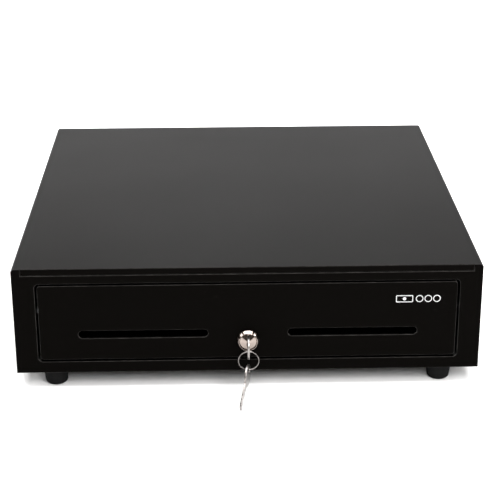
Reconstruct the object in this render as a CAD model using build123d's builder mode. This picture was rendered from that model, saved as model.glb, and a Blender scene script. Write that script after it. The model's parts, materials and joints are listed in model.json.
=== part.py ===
from build123d import *

import os
from math import asin, cos, radians, sin

# A steel cash drawer: a case with a roller-slide drawer, cam lock, till tray, latch and solenoid.
# Millimetres. Origin at the centre of the case's footprint on the counter, +Z up, front towards -Y.

# ---- Driving dimensions -------------------------------------------------------------------
WIDTH = 410.0
DEPTH = 415.0
TOTAL_HEIGHT = 114.0
FOOT_HEIGHT = 15.2
SHEET = 1.0
PLATE = 1.2
BEND = 2.5
EDGE = 0.5

HALF_W = WIDTH / 2
FRONT = -DEPTH / 2
REAR = DEPTH / 2
BODY_HEIGHT = TOTAL_HEIGHT - FOOT_HEIGHT
BODY_MID_Z = FOOT_HEIGHT + BODY_HEIGHT / 2
FRAME_BACK = FRONT + PLATE
PANEL_FRONT = REAR - SHEET
CEILING = TOTAL_HEIGHT - SHEET
FLOOR_TOP = FOOT_HEIGHT + PLATE

# Front cover lip
LIP_DROP = 5.4
LIP_INSET = 8.5
LIP_SETBACK = 0.6
SEAM = 0.6

# Drawer front and the opening that it fills
DRAWER_W = 366.4
DRAWER_H = 70.4
DRAWER_MID_Z = 63.2
DRAWER_CORNER = 3.0
OPENING_W = 370.8
OPENING_H = 74.5
OPENING_MID_Z = 63.1
OPENING_CORNER = 4.0
OPENING_RETURN = 12.0

# Media slots and lock
SLOT_W = 114.2
SLOT_H = 7.4
SLOT_X = 92.1
SLOT_Z = 51.8
LOCK_Z = 44.5
BEZEL_R = 10.3
BEZEL_RIM_R = 9.1
BEZEL_OUT = 4.6
BEZEL_RECESS_R = 7.9
BEZEL_RECESS = 1.3
BARREL_R = 9.5
PLUG_R = 6.5
RUNNING = 0.06

# Fasteners
M4_R = 2.0
M4_HOLE_R = 2.05
FLUSH_HEAD_R = 3.6
PAN_HEAD_R = 3.4
NUT_HALF_FLATS = 3.5
NUT_HEIGHT = 3.2
RIVET_HEAD_R = 3.5
SIDE_SCREW_Y = (-150.0, 150.0)
SIDE_SCREW_Z = 24.0

# Feet
FOOT_X = 171.8
FOOT_Y = 192.5
FOOT_R_TOP = 11.6
FOOT_R_BOTTOM = 9.6
FOOT_ROUNDING = 2.5
FOOT_RECESS_R = 5.0
FOOT_RECESS_DEPTH = 6.0
SCREW_SEAT_R = 3.6
SCREW_SEAT_TOP = 9.2

# Roller slides
ROLLER_R = 8.0
ROLLER_IN = 172.0
ROLLER_OUT = 180.0
AXLE_R = 2.45
AXLE_HOLE_R = 2.5
CASE_ROLLER_Y = -190.0
CASE_ROLLER_Z = 68.0
DRAWER_ROLLER_Y = 180.0
DRAWER_ROLLER_Z = 63.5
CHANNEL_LIP_X = 170.0
CHANNEL_WEB_X = 190.2
CHANNEL_Z = (54.0, 74.4)
CHANNEL_Y = (-180.0, 195.0)
DRAWER_RAIL_X = 166.0
DRAWER_RAIL_TOP = 77.5
DRAWER_TRAVEL = 300.0
BRACKET_Y = 120.0
RIVET_Z = 64.0
WALL_X = HALF_W - SHEET

# Drawer pan and till
PAN_X = 166.0
PAN_REAR = 140.0
PAN_BOTTOM = DRAWER_MID_Z - DRAWER_H / 2 + PLATE
PAN_TOP = 92.0
TILL_X = 163.0
TILL_Y = (-196.0, 136.0)
TILL_Z = (57.0, 95.0)
TILL_WALL = 2.0
TILL_SPLIT_Y = (-75.0, -73.0)
BILL_BAYS = 4
COIN_COLUMNS = 4
COIN_ROWS = 2
CLIP_Y = 122.0
CLIP_Z = 88.0
CLIP_REACH = 72.0
CLIP_AXLE_R = 1.5
CLIP_BORE_R = 1.56

# Latch
LATCH_X = 40.0
LATCH_Y = 186.0
LATCH_Z = 50.0
LATCH_SWING = 14.0
LATCH_PLATE = 2.0
PIVOT_R = 3.0
STRIKER_X = 30.0
STRIKER_Y = 158.0
TABLE_Z = 38.0
TABLE_SHEET = 1.5
TABLE_TOP = TABLE_Z + TABLE_SHEET
SOLENOID_X = 70.0
SOLENOID_Z = 51.0
PUSH_TIP_Y = 188.85
SWITCH_HINGE = (9.8, 178.0)
SWITCH_SWING = 20.7

# Ejector
EJECTOR_X = -60.0
EJECTOR_Z = 50.0
EJECTOR_ROD_R = 5.0

# Rear jack
JACK_X = -120.0
JACK_Z = 42.0
JACK_W = 13.4
JACK_H = 12.0

# Keys and ring
KEY_THICK = 2.0
KEY_BOW_L = 19.0
KEY_BOW_H = 20.5
KEY_BOW_CORNER = 8.5
KEY_HOLE_R = 2.5
KEY_HOLE_IN = 4.8
KEY_BLADE_L = 26.6
KEY_BLADE_H = 7.8
KEY_TIP = 2.2
KEY_HOLE_Y = -227.3
RING_R = 8.8
RING_WIRE_R = 0.45
RING_PLAY = 0.3
RING_LEAN = 3.0
SPARE_TIP = (-7.8, -257.5, 2.6)
SPARE_TWIST = 6.5

FROM_BASE = (Align.CENTER, Align.CENTER, Align.MIN)

os.makedirs("parts", exist_ok=True)


def save(piece, name):
    """Label a finished piece and write it."""
    piece.part.label = name
    export_step(piece.part, f"parts/{name}.step")


def block(low, high, mode=Mode.ADD):
    """Add or cut the box between two corners."""
    centre = tuple((a + b) / 2 for a, b in zip(low, high))
    size = [abs(b - a) for a, b in zip(low, high)]
    with Locations(centre):
        Box(*size, mode=mode)


def bar(start, direction, radius, length, mode=Mode.ADD):
    """Add or cut a round bar from a point along a direction."""
    with Locations(Plane(origin=start, z_dir=direction)):
        Cylinder(radius, length, align=FROM_BASE, mode=mode)


def facing_front(y):
    """A plane at depth y, seen from the front: local x is +X, local y is +Z, normal is -Y."""
    return Plane.XZ.offset(-y)


def folded(points, thickness, radius):
    """A sheet's cross-section along a bent line, inside the open sketch."""
    with BuildLine(mode=Mode.PRIVATE) as bend_line:
        FilletPolyline(*points, radius=radius)
    trace(bend_line.line, line_width=thickness)


def countersinks(mode):
    """The flush screw heads' cones along both lower edges of the case."""
    for side in (-1, 1):
        for y in SIDE_SCREW_Y:
            with Locations(Plane(origin=(side * HALF_W, y, SIDE_SCREW_Z), z_dir=(-side, 0, 0))):
                Cone(FLUSH_HEAD_R, M4_R, SHEET + PLATE, align=FROM_BASE, mode=mode)


# ---- Case ---------------------------------------------------------------------------------
foot_places = [(x, y) for x in (-FOOT_X, FOOT_X) for y in (-FOOT_Y, FOOT_Y)]

with BuildPart() as top_cover:
    with BuildSketch(facing_front(PANEL_FRONT)):
        folded(
            [
                (-HALF_W + SHEET / 2, FOOT_HEIGHT),
                (-HALF_W + SHEET / 2, TOTAL_HEIGHT - SHEET / 2),
                (HALF_W - SHEET / 2, TOTAL_HEIGHT - SHEET / 2),
                (HALF_W - SHEET / 2, FOOT_HEIGHT),
            ],
            SHEET,
            BEND - SHEET / 2,
        )
    extrude(amount=PANEL_FRONT - FRAME_BACK)
    lip_half = HALF_W - LIP_INSET
    with BuildSketch(Plane.YZ.offset(-lip_half)):
        folded(
            [
                (FRAME_BACK + 10, TOTAL_HEIGHT - SHEET / 2),
                (FRONT + LIP_SETBACK + SHEET / 2, TOTAL_HEIGHT - SHEET / 2),
                (FRONT + LIP_SETBACK + SHEET / 2, TOTAL_HEIGHT - LIP_DROP),
            ],
            SHEET,
            SHEET,
        )
    extrude(amount=2 * lip_half)
    countersinks(Mode.SUBTRACT)
save(top_cover, "top_cover")

with BuildPart() as front_frame:
    with BuildSketch(facing_front(FRAME_BACK)) as frame_face:
        with Locations((0, BODY_MID_Z)):
            Rectangle(WIDTH, BODY_HEIGHT)
        fillet(frame_face.vertices().group_by(Axis.Y)[-1], BEND)
        notch_low = TOTAL_HEIGHT - LIP_DROP - SEAM
        with Locations((0, notch_low)):
            Rectangle(
                2 * lip_half + 1.0,
                2 * LIP_DROP + SEAM,
                align=(Align.CENTER, Align.MIN),
                mode=Mode.SUBTRACT,
            )
        with Locations((0, OPENING_MID_Z)):
            RectangleRounded(OPENING_W, OPENING_H, OPENING_CORNER, mode=Mode.SUBTRACT)
    extrude(amount=PLATE)
    fillet(front_frame.faces().sort_by(Axis.Y)[0].edges(), EDGE)
    with BuildSketch(facing_front(FRAME_BACK)):
        with Locations((0, OPENING_MID_Z)):
            RectangleRounded(OPENING_W + 2 * PLATE, OPENING_H + 2 * PLATE, OPENING_CORNER + PLATE)
            RectangleRounded(OPENING_W, OPENING_H, OPENING_CORNER, mode=Mode.SUBTRACT)
    extrude(amount=-OPENING_RETURN)
    opening_top = OPENING_MID_Z + OPENING_H / 2
    lip_back = FRONT + LIP_SETBACK + SHEET
    block((-195, FRAME_BACK, opening_top + PLATE), (195, FRAME_BACK + PLATE, notch_low))
    block((-195, lip_back, notch_low - PLATE), (195, lip_back + PLATE, CEILING - PLATE))
    block((-195, lip_back + SHEET / 2, CEILING - PLATE), (195, FRAME_BACK + 16, CEILING))
    block((-195, FRAME_BACK, FLOOR_TOP), (195, FRAME_BACK + 9, FLOOR_TOP + PLATE))
    for side in (-1, 1):
        block((side * (WALL_X - PLATE), FRAME_BACK, 32), (side * WALL_X, FRAME_BACK + 14, 111))
save(front_frame, "front_frame")

table_screws = [(101.0, 155.0), (101.0, 192.0), (-9.0, 174.0), (-9.0, 196.0)]

with BuildPart() as base_pan:
    block((-WALL_X, FRAME_BACK, FOOT_HEIGHT), (WALL_X, PANEL_FRONT, FLOOR_TOP))
    for side in (-1, 1):
        block((side * (WALL_X - PLATE), -188, FLOOR_TOP), (side * WALL_X, 190, 30))
    countersinks(Mode.SUBTRACT)
    for tab_x in (JACK_X - 12, JACK_X + 12):
        block((tab_x - PLATE / 2, 180, FLOOR_TOP), (tab_x + PLATE / 2, 202, 34.4))
    with Locations(*[(x, y, FLOOR_TOP) for x, y in foot_places + table_screws]):
        Hole(M4_HOLE_R)
save(base_pan, "base_pan")

with BuildPart() as rear_panel:
    with BuildSketch(facing_front(REAR)) as panel_face:
        with Locations((0, BODY_MID_Z)):
            Rectangle(WIDTH, BODY_HEIGHT)
        fillet(panel_face.vertices().group_by(Axis.Y)[-1], BEND)
        with Locations((JACK_X, JACK_Z)):
            Rectangle(JACK_W + 0.2, JACK_H + 0.2, mode=Mode.SUBTRACT)
    extrude(amount=SHEET)
    block((-195, PANEL_FRONT - 11, CEILING - SHEET), (195, PANEL_FRONT, CEILING))
    for side in (-1, 1):
        block((side * (WALL_X - SHEET), PANEL_FRONT - 11, 32), (side * WALL_X, PANEL_FRONT, 110))
save(rear_panel, "rear_panel")


def make_case_rail(side):
    """The fixed channel of one roller slide, open towards the drawer."""
    low, high = CHANNEL_Z
    with BuildPart() as rail:
        with BuildSketch(facing_front(CHANNEL_Y[1])):
            folded(
                [
                    (side * CHANNEL_LIP_X, low + PLATE / 2),
                    (side * (CHANNEL_WEB_X - PLATE / 2), low + PLATE / 2),
                    (side * (CHANNEL_WEB_X - PLATE / 2), high - PLATE / 2),
                    (side * CHANNEL_LIP_X, high - PLATE / 2),
                ],
                PLATE,
                PLATE,
            )
        extrude(amount=CHANNEL_Y[1] - CHANNEL_Y[0])
        web = (side * (CHANNEL_WEB_X - PLATE), side * CHANNEL_WEB_X)
        block((web[0], CHANNEL_Y[0] - 19, low + 6), (web[1], CHANNEL_Y[0] + 1, high - 2.4))
        stop_y = DRAWER_ROLLER_Y - DRAWER_TRAVEL - 6.3
        block((side * 174, stop_y - 3.7, low + PLATE), (side * 186, stop_y, low + 4))
        axle_hole = (side * ROLLER_OUT, CASE_ROLLER_Y, CASE_ROLLER_Z)
        bar(axle_hole, (side, 0, 0), AXLE_R, 20, mode=Mode.SUBTRACT)
        for y in (-BRACKET_Y, BRACKET_Y):
            bar((side * ROLLER_OUT, y, RIVET_Z), (side, 0, 0), M4_HOLE_R, 20, mode=Mode.SUBTRACT)
    return rail


def make_rail_brackets(side):
    """Two hat-shaped brackets that hold one channel off the case wall."""
    wall = side * (WALL_X - TABLE_SHEET / 2)
    crown = side * (CHANNEL_WEB_X + TABLE_SHEET / 2)
    with BuildPart() as brackets:
        for y in (-BRACKET_Y, BRACKET_Y):
            hat = [(wall, -20), (wall, -11), (crown, -7), (crown, 7), (wall, 11), (wall, 20)]
            with BuildSketch(Plane.XY.offset(RIVET_Z - 7)):
                folded([(x, y + along) for x, along in hat], TABLE_SHEET, TABLE_SHEET)
            extrude(amount=14)
            bar((side * 188, y, RIVET_Z), (side, 0, 0), M4_HOLE_R, 8, mode=Mode.SUBTRACT)
    return brackets


for side, hand in ((-1, "left"), (1, "right")):
    save(make_case_rail(side), f"case_rail_{hand}")
    save(make_rail_brackets(side), f"rail_brackets_{hand}")

with BuildPart() as rail_rivets:
    for side in (-1, 1):
        for y in (-BRACKET_Y, BRACKET_Y):
            inner = side * (CHANNEL_WEB_X - PLATE - 1)
            outer = side * (CHANNEL_WEB_X + TABLE_SHEET)
            bar((inner, y, RIVET_Z), (side, 0, 0), RIVET_HEAD_R, 1)
            bar((inner, y, RIVET_Z), (side, 0, 0), M4_R, 4.7)
            bar((outer, y, RIVET_Z), (side, 0, 0), RIVET_HEAD_R, 1)
save(rail_rivets, "rail_rivets")

for (x, y), name in zip(foot_places, ("front_left", "rear_left", "front_right", "rear_right")):
    with BuildPart() as foot:
        with Locations((x, y, 0)):
            Cone(FOOT_R_BOTTOM, FOOT_R_TOP, FOOT_HEIGHT, align=FROM_BASE)
        fillet(foot.edges().filter_by(GeomType.CIRCLE).sort_by(Axis.Z)[0], FOOT_ROUNDING)
        bar((x, y, 0), (0, 0, 1), FOOT_RECESS_R, FOOT_RECESS_DEPTH, mode=Mode.SUBTRACT)
        bar((x, y, 0), (0, 0, 1), SCREW_SEAT_R, SCREW_SEAT_TOP, mode=Mode.SUBTRACT)
        bar((x, y, 0), (0, 0, 1), M4_HOLE_R, FOOT_HEIGHT, mode=Mode.SUBTRACT)
    save(foot, f"foot_{name}")

with BuildPart() as foot_screws:
    for x, y in foot_places:
        bar((x, y, SCREW_SEAT_TOP - 2.8), (0, 0, 1), PAN_HEAD_R, 2.8)
        bar((x, y, SCREW_SEAT_TOP), (0, 0, 1), M4_R, 13)
        with BuildSketch(Plane.XY.offset(FLOOR_TOP)):
            with Locations((x, y)):
                RegularPolygon(NUT_HALF_FLATS, 6, major_radius=False)
        extrude(amount=NUT_HEIGHT)
save(foot_screws, "foot_screws")

with BuildPart() as cover_screws:
    countersinks(Mode.ADD)
    for side in (-1, 1):
        for y in SIDE_SCREW_Y:
            bar((side * HALF_W, y, SIDE_SCREW_Z), (-side, 0, 0), M4_R, 9)
            bar((side * HALF_W, y, SIDE_SCREW_Z), (-side, 0, 0), 1.2, 1.2, mode=Mode.SUBTRACT)
save(cover_screws, "cover_screws")

# ---- Rear jack and its board --------------------------------------------------------------
plug_w = 9.8
plug_z = (38.2, 45.2)

with BuildPart() as jack_housing:
    block(
        (JACK_X - JACK_W / 2, REAR - 17.5, JACK_Z - JACK_H / 2),
        (JACK_X + JACK_W / 2, REAR, JACK_Z + JACK_H / 2),
    )
    low = (JACK_X - plug_w / 2, REAR - 14, plug_z[0])
    block(low, (JACK_X + plug_w / 2, REAR, plug_z[1]), mode=Mode.SUBTRACT)
    block((JACK_X - 2, REAR - 14, JACK_Z - 5.2), (JACK_X + 2, REAR, plug_z[0]), mode=Mode.SUBTRACT)
save(jack_housing, "jack_housing")

with BuildPart() as jack_board:
    block((JACK_X - 16, 176, 34.4), (JACK_X + 16, 204, JACK_Z - JACK_H / 2))
save(jack_board, "jack_board")

with BuildPart() as jack_contacts:
    for step in range(6):
        x = JACK_X + (step - 2.5) * 1.27
        block((x - 0.2, REAR - 13.5, plug_z[1] - 0.6), (x + 0.2, REAR - 5, plug_z[1]))
save(jack_contacts, "jack_contacts")

# ---- Latch table, solenoid, switch and latch ----------------------------------------------
with BuildPart() as mech_table:
    block((12, 143, TABLE_Z), (96, 204, TABLE_TOP))
    block((-4, 157, TABLE_Z), (12, 204, TABLE_TOP))
    block((96 - TABLE_SHEET, 143, FLOOR_TOP), (96, 204, TABLE_TOP))
    block((96 - TABLE_SHEET, 143, FLOOR_TOP), (107, 204, FLOOR_TOP + TABLE_SHEET))
    block((-4, 164, FLOOR_TOP), (-4 + TABLE_SHEET, 204, TABLE_TOP))
    block((-15, 164, FLOOR_TOP), (-4 + TABLE_SHEET, 204, FLOOR_TOP + TABLE_SHEET))
    for y in (165, 176):
        bar((4.5, y, TABLE_TOP), (0, 0, 1), 1.8, 47.8 - TABLE_TOP)
    for x, y in table_screws:
        bar((x, y, FLOOR_TOP), (0, 0, 1), M4_HOLE_R, TABLE_SHEET, mode=Mode.SUBTRACT)
save(mech_table, "mech_table")

with BuildPart() as mech_screws:
    for x, y in table_screws:
        bar((x, y, FOOT_HEIGHT + 0.2), (0, 0, 1), M4_R, PLATE + TABLE_SHEET)
        bar((x, y, FLOOR_TOP + TABLE_SHEET), (0, 0, 1), PAN_HEAD_R, 2.2)
save(mech_screws, "mech_screws")

coil_r = 9.0
coil_front = 145.5
coil_rear = 176.5
frame_x = (SOLENOID_X - 12, SOLENOID_X + 12)
frame_top = SOLENOID_Z + 10
coil_start = (SOLENOID_X, coil_front, SOLENOID_Z)
with BuildPart() as solenoid_frame:
    block((frame_x[0], coil_front - 1.5, TABLE_TOP), (frame_x[1], coil_front, frame_top))
    block((frame_x[0], coil_rear, TABLE_TOP), (frame_x[1], coil_rear + 1.5, frame_top))
    block((frame_x[0], coil_front, TABLE_TOP), (frame_x[1], coil_rear, TABLE_TOP + 1.5))
    bar((SOLENOID_X, coil_front - 2, SOLENOID_Z), (0, 1, 0), PIVOT_R + RUNNING, 40, mode=Mode.SUBTRACT)
save(solenoid_frame, "solenoid_frame")

with BuildPart() as solenoid_coil:
    bar(coil_start, (0, 1, 0), coil_r, coil_rear - coil_front)
    bar(coil_start, (0, 1, 0), PIVOT_R + RUNNING, coil_rear - coil_front, mode=Mode.SUBTRACT)
save(solenoid_coil, "solenoid_coil")

with BuildPart() as solenoid_plunger:
    bar((SOLENOID_X, 155, SOLENOID_Z), (0, 1, 0), PIVOT_R, PUSH_TIP_Y - 1.8 - 155)
    with Locations(Plane(origin=(SOLENOID_X, PUSH_TIP_Y - 1.8, SOLENOID_Z), z_dir=(0, 1, 0))):
        Cone(PIVOT_R, 1.2, 1.8, align=FROM_BASE)
save(solenoid_plunger, "solenoid_plunger")

with BuildPart() as latch_pivot_pin:
    bar((LATCH_X, LATCH_Y, TABLE_TOP), (0, 0, 1), PIVOT_R, 17.5)
    bar((LATCH_X, LATCH_Y, TABLE_TOP), (0, 0, 1), 5, 1.2)
    bar((LATCH_X, LATCH_Y, LATCH_Z + 4.3), (0, 0, 1), 4.6, 1.2)
save(latch_pivot_pin, "latch_pivot_pin")

# The latch is drawn as it stands when it holds the striker, then swung to its released stand.
released = Plane(
    origin=(LATCH_X, LATCH_Y, LATCH_Z),
    x_dir=(cos(radians(LATCH_SWING)), sin(radians(LATCH_SWING)), 0),
    z_dir=(0, 0, 1),
)
with BuildPart() as latch_hook:
    with BuildSketch(released) as hook_shape:
        with Locations((2.5, 0)):
            Rectangle(63, 8)
        with Locations((2.5, -16)):
            Rectangle(9, 40)
        with Locations((-5, -33.75)):
            Rectangle(18, 4.5)
        with Locations((-26, -15)):
            Rectangle(6, 38)
        Circle(6.5)
    extrude(amount=LATCH_PLATE)
    boss_low = TABLE_TOP + 1.4
    bar((LATCH_X, LATCH_Y, boss_low), (0, 0, 1), 5.5, LATCH_Z + 4 - boss_low)
    bar((LATCH_X, LATCH_Y, boss_low), (0, 0, 1), PIVOT_R + RUNNING, 20, mode=Mode.SUBTRACT)
save(latch_hook, "latch_hook")


def coil_spring(start, direction, radius, wire, pitch, length):
    """A round-wire helical spring along a direction from a point."""
    with BuildPart() as spring:
        with BuildLine():
            helix = Helix(pitch=pitch, height=length, radius=radius, center=start, direction=direction)
        with BuildSketch(Plane(origin=helix @ 0, z_dir=helix % 0)):
            Circle(wire)
        sweep(path=helix, is_frenet=True)
    return spring


latch_spring = coil_spring((LATCH_X, LATCH_Y, 42.4), (0, 0, 1), 6.6, 0.5, 1.3, 6.5)
save(latch_spring, "latch_spring")

hinge_x, hinge_y = SWITCH_HINGE
switch_low = 47.8
switch_high = 54.2
with BuildPart() as switch_body:
    block((0, 162, switch_low), (9.3, 182, switch_high))
    block((8.4, 176, switch_low), (9.3, 180.5, switch_high), mode=Mode.SUBTRACT)
    for z in (switch_low, switch_high - 0.5):
        block((8.0, 176.6, z), (hinge_x + 0.8, 179.4, z + 0.5))
    bar((hinge_x, hinge_y, switch_low), (0, 0, 1), 0.4, switch_high - switch_low)
save(switch_body, "switch_body")

swing = radians(SWITCH_SWING)
with BuildPart() as switch_lever:
    lever_plane = Plane(
        origin=(hinge_x, hinge_y, switch_low + 0.8),
        x_dir=(sin(swing), -cos(swing), 0),
        z_dir=(0, 0, 1),
    )
    with BuildSketch(lever_plane):
        with Locations((7, 0)):
            Rectangle(14, 0.5)
        Circle(0.85)
        Circle(0.45, mode=Mode.SUBTRACT)
    extrude(amount=switch_high - switch_low - 1.6)
save(switch_lever, "switch_lever")

# ---- Ejector ------------------------------------------------------------------------------
with BuildPart() as ejector_housing:
    bar((EJECTOR_X, 168, EJECTOR_Z), (0, 1, 0), 10, PANEL_FRONT - 168)
    block((EJECTOR_X - 15, 205, EJECTOR_Z - 15), (EJECTOR_X + 15, PANEL_FRONT, EJECTOR_Z + 15))
    bar((EJECTOR_X, 171, EJECTOR_Z), (0, 1, 0), 8, 34, mode=Mode.SUBTRACT)
    bar((EJECTOR_X, 168, EJECTOR_Z), (0, 1, 0), EJECTOR_ROD_R + RUNNING, 3, mode=Mode.SUBTRACT)
save(ejector_housing, "ejector_housing")

with BuildPart() as ejector_plunger:
    bar((EJECTOR_X, PAN_REAR + 0.3, EJECTOR_Z), (0, 1, 0), 8, 5)
    bar((EJECTOR_X, PAN_REAR + 5, EJECTOR_Z), (0, 1, 0), EJECTOR_ROD_R, 204 - PAN_REAR - 5)
    bar((EJECTOR_X, 201.5, EJECTOR_Z), (0, 1, 0), 7.6, 2.5)
save(ejector_plunger, "ejector_plunger")

ejector_spring = coil_spring((EJECTOR_X, PAN_REAR + 6, EJECTOR_Z), (0, 1, 0), 6.3, 0.6, 3.1, 21.3)
save(ejector_spring, "ejector_spring")

with BuildPart() as harness:
    with BuildLine() as route:
        FilletPolyline(
            (JACK_X + 10, 184, 36),
            (JACK_X + 10, 184, 72),
            (JACK_X + 10, 200, 72),
            (SOLENOID_X, 200, 72),
            (SOLENOID_X, 170, 72),
            (SOLENOID_X, 170, SOLENOID_Z + coil_r),
            radius=6,
        )
    with BuildSketch(Plane.XY.offset(36)):
        with Locations((JACK_X + 10, 184)):
            Circle(1.5)
    sweep(path=route.wire())
save(harness, "harness")

# ---- Roller axles and rollers -------------------------------------------------------------
with BuildPart() as case_roller_axles:
    for side in (-1, 1):
        out = (side, 0, 0)
        bar((side * 170.7, CASE_ROLLER_Y, CASE_ROLLER_Z), out, 3.6, 1)
        bar((side * 170.7, CASE_ROLLER_Y, CASE_ROLLER_Z), out, AXLE_R, 20.5)
        bar((side * 180.3, CASE_ROLLER_Y, CASE_ROLLER_Z), out, 3.5, CHANNEL_WEB_X - PLATE - 180.3)
        bar((side * CHANNEL_WEB_X, CASE_ROLLER_Y, CASE_ROLLER_Z), out, 3.6, 1.2)
save(case_roller_axles, "case_roller_axles")

with BuildPart() as drawer_roller_axles:
    for side in (-1, 1):
        out = (side, 0, 0)
        bar((side * 164.8, DRAWER_ROLLER_Y, DRAWER_ROLLER_Z), out, 3.6, 1.2)
        bar((side * 164.8, DRAWER_ROLLER_Y, DRAWER_ROLLER_Z), out, AXLE_R, 16.5)
        bar((side * 167.2, DRAWER_ROLLER_Y, DRAWER_ROLLER_Z), out, 3.5, 4.5)
        bar((side * 180.3, DRAWER_ROLLER_Y, DRAWER_ROLLER_Z), out, 3.6, 1)
save(drawer_roller_axles, "drawer_roller_axles")

roller_places = {
    "case": (CASE_ROLLER_Y, CASE_ROLLER_Z),
    "drawer": (DRAWER_ROLLER_Y, DRAWER_ROLLER_Z),
}
for owner, (y, z) in roller_places.items():
    for side, hand in ((-1, "left"), (1, "right")):
        with BuildPart() as roller:
            inner = (side * ROLLER_IN, y, z)
            width = ROLLER_OUT - ROLLER_IN
            bar(inner, (side, 0, 0), ROLLER_R, width)
            chamfer(roller.edges().filter_by(GeomType.CIRCLE), 0.6)
            bar(inner, (side, 0, 0), AXLE_HOLE_R, width, mode=Mode.SUBTRACT)
        save(roller, f"{owner}_roller_{hand}")

# ---- Drawer -------------------------------------------------------------------------------
def cut_front_holes(y):
    """Cut the two media slots and the lock's hole through a wall that starts at depth y."""
    with BuildSketch(facing_front(y)) as holes:
        with Locations((-SLOT_X, SLOT_Z), (SLOT_X, SLOT_Z)):
            SlotOverall(SLOT_W, SLOT_H)
        with Locations((0, LOCK_Z)):
            Circle(BARREL_R)
    extrude(holes.sketch, amount=3, both=True, mode=Mode.SUBTRACT)


with BuildPart() as drawer_pan:
    block((-PAN_X, FRAME_BACK, PAN_BOTTOM), (PAN_X, PAN_REAR, PAN_BOTTOM + SHEET))
    for side in (-1, 1):
        block((side * (PAN_X - SHEET), FRAME_BACK, PAN_BOTTOM), (side * PAN_X, PAN_REAR, PAN_TOP))
    block((-PAN_X, PAN_REAR - SHEET, PAN_BOTTOM), (PAN_X, PAN_REAR, PAN_TOP))
    block((-PAN_X, FRAME_BACK, PAN_BOTTOM), (PAN_X, FRAME_BACK + SHEET, PAN_TOP))
    cut_front_holes(FRAME_BACK)
    bar((0, PAN_REAR - 2, LOCK_Z), (0, 1, 0), PIVOT_R + RUNNING, 4, mode=Mode.SUBTRACT)
save(drawer_pan, "drawer_pan")

with BuildPart() as drawer_front:
    with BuildSketch(facing_front(FRAME_BACK)):
        with Locations((0, DRAWER_MID_Z)):
            RectangleRounded(DRAWER_W, DRAWER_H, DRAWER_CORNER)
    extrude(amount=PLATE)
    cut_front_holes(FRAME_BACK)
    fillet(drawer_front.faces().sort_by(Axis.Y)[0].edges(), EDGE)
    with BuildSketch(facing_front(FRAME_BACK)):
        with Locations((0, DRAWER_MID_Z)):
            RectangleRounded(DRAWER_W, DRAWER_H, DRAWER_CORNER)
            RectangleRounded(
                DRAWER_W - 2 * PLATE, DRAWER_H - 2 * PLATE, DRAWER_CORNER - PLATE, mode=Mode.SUBTRACT
            )
    extrude(amount=-4.3)
save(drawer_front, "drawer_front")

front_bolt_places = [(x, z) for x in (-157.0, 157.0) for z in (40.0, 84.0)]
with BuildPart() as front_bolts:
    for x, z in front_bolt_places:
        bar((x, FRAME_BACK + SHEET, z), (0, 1, 0), M4_R, 6)
        with BuildSketch(facing_front(FRAME_BACK + SHEET)):
            with Locations((x, z)):
                RegularPolygon(NUT_HALF_FLATS, 6, major_radius=False)
        extrude(amount=-NUT_HEIGHT)
save(front_bolts, "front_bolts")


def make_drawer_rail(side):
    """The moving member of one roller slide, an angle fixed to the pan's side."""
    web = side * (DRAWER_RAIL_X + PLATE / 2)
    top = DRAWER_RAIL_TOP - PLATE / 2
    with BuildPart() as rail:
        with BuildSketch(facing_front(190)):
            folded([(web, 57), (web, top), (side * 183, top)], PLATE, PLATE)
        extrude(amount=190 + 198)
        hole = (side * 160, DRAWER_ROLLER_Y, DRAWER_ROLLER_Z)
        bar(hole, (side, 0, 0), AXLE_R, 10, mode=Mode.SUBTRACT)
    return rail


for side, hand in ((-1, "left"), (1, "right")):
    save(make_drawer_rail(side), f"drawer_rail_{hand}")

with BuildPart() as striker:
    block((STRIKER_X - 8, PAN_REAR, 36), (STRIKER_X + 8, PAN_REAR + TABLE_SHEET, 60))
    block((STRIKER_X - 5, PAN_REAR, 44), (STRIKER_X + 5, STRIKER_Y + 5, 46))
    bar((STRIKER_X, STRIKER_Y, 44), (0, 0, 1), PIVOT_R, 13)
save(striker, "striker")

pan_floor = PAN_BOTTOM + SHEET
with BuildPart() as rod_cover:
    with BuildSketch(facing_front(PAN_REAR - SHEET)):
        low = pan_floor + SHEET / 2
        folded([(-16, low), (-8.5, low), (-8.5, 54), (8.5, 54), (8.5, low), (16, low)], SHEET, SHEET)
    extrude(amount=PAN_REAR - SHEET + 178)
save(rod_cover, "rod_cover")

with BuildPart() as till_ledges:
    for side in (-1, 1):
        wall = side * (PAN_X - SHEET)
        inner = side * (PAN_X - SHEET - PLATE)
        shelf = side * (PAN_X - 11)
        block((inner, -190, 45), (wall, 130, TILL_Z[0]))
        block((shelf, -190, TILL_Z[0] - PLATE), (wall, 130, TILL_Z[0]))
save(till_ledges, "till_ledges")

# ---- Till, coin insert and bill clips -----------------------------------------------------
till_inner = TILL_X - TILL_WALL
bay_w = (2 * till_inner - (BILL_BAYS - 1) * TILL_WALL) / BILL_BAYS
bay_pitch = bay_w + TILL_WALL
bay_x = [(column - (BILL_BAYS - 1) / 2) * bay_pitch for column in range(BILL_BAYS)]
bay_floor = TILL_Z[0] + TILL_WALL

with BuildPart() as till_tray:
    block((-TILL_X, TILL_Y[0], TILL_Z[0]), (TILL_X, TILL_Y[1], TILL_Z[1]))
    coin_high = (till_inner, TILL_SPLIT_Y[0], TILL_Z[1])
    block((-till_inner, TILL_Y[0] + TILL_WALL, bay_floor), coin_high, mode=Mode.SUBTRACT)
    for x in bay_x:
        low = (x - bay_w / 2, TILL_SPLIT_Y[1], bay_floor)
        high = (x + bay_w / 2, TILL_Y[1] - TILL_WALL, TILL_Z[1])
        block(low, high, mode=Mode.SUBTRACT)
    bar((-TILL_X, CLIP_Y, CLIP_Z), (1, 0, 0), CLIP_AXLE_R + RUNNING, 2 * TILL_X, mode=Mode.SUBTRACT)
save(till_tray, "till_tray")

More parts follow.
